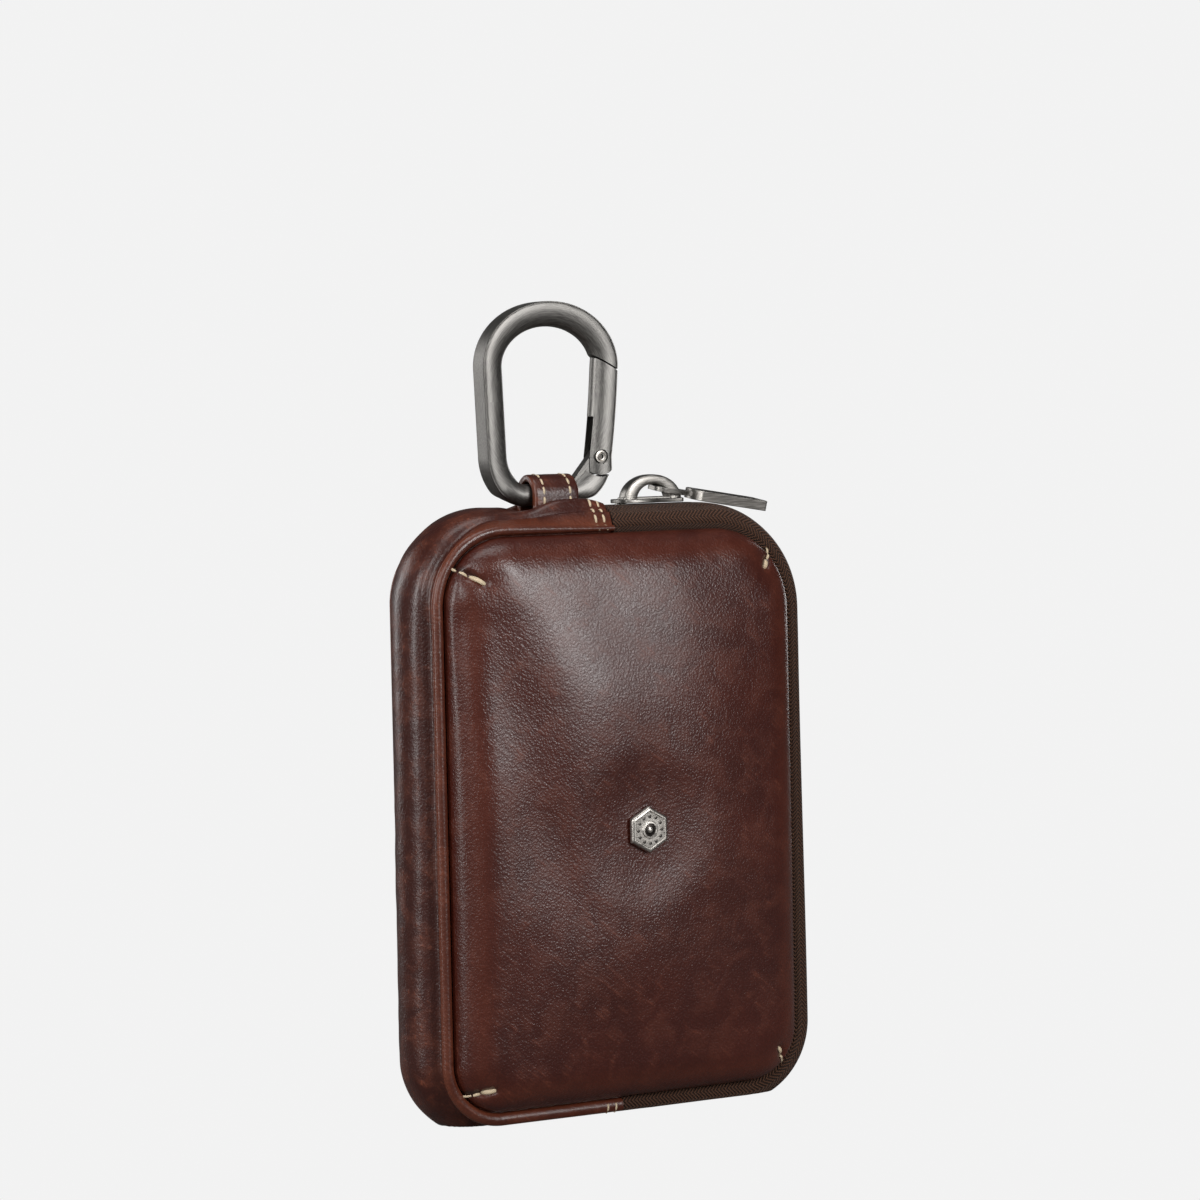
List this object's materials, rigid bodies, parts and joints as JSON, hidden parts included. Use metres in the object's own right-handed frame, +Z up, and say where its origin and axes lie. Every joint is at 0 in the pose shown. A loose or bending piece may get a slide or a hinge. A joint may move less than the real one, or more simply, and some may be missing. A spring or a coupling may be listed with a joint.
{
  "type": "zipped leather pouch",
  "caption": "Upright hard-sided leather pouch with a zip round its right half and a snap hook in a strap loop on top.",
  "frame": {"origin": "middle of the base, on the surface that the pouch stands on", "axes": "+X to the right seen from the front, +Y from the front to the back, +Z up"},
  "size_m": [0.1114, 0.0462, 0.2006],
  "materials": {
    "panel_leather": "glossy waxed",
    "band_leather": "glossy waxed",
    "zip_tape": "woven",
    "zip_coil": "moulded",
    "hook_metal": "dark brushed",
    "trim_metal": "satin"
  },
  "bodies": {
    "pouch": {"front_panel": "panel_leather", "back_panel": "panel_leather", "leather_band": "band_leather", "zip_tape_front": "zip_tape", "zip_tape_back": "zip_tape", "zip_coil": "zip_coil", "strap_loop": "band_leather", "zip_slider": "trim_metal", "front_stud": "trim_metal"},
    "hook": {"hook_body": "hook_metal", "gate_screw": "trim_metal"},
    "gate": {"hook_gate": "hook_metal"},
    "pull": {"zip_pull": "trim_metal"}
  },
  "joints": [
    {"name": "hook_swing", "type": "hinge", "parent": "pouch", "child": "hook", "pos_m": [-0.0129, 0, 0.15315], "axis": [1, 0, 0], "range_deg": [-35, 35]},
    {"name": "gate_open", "type": "hinge", "parent": "hook", "child": "gate", "pos_m": [0.0009, 0, 0.16215], "axis": [0, -1, 0], "range_deg": [0, 50], "stiffness_Nm_per_rad": 0.05, "springref_deg": -28.65},
    {"name": "pull_swing", "type": "hinge", "parent": "pouch", "child": "pull", "pos_m": [0.01768, 0, 0.1539], "axis": [0, -1, 0], "range_deg": [0, 105]}
  ]
}
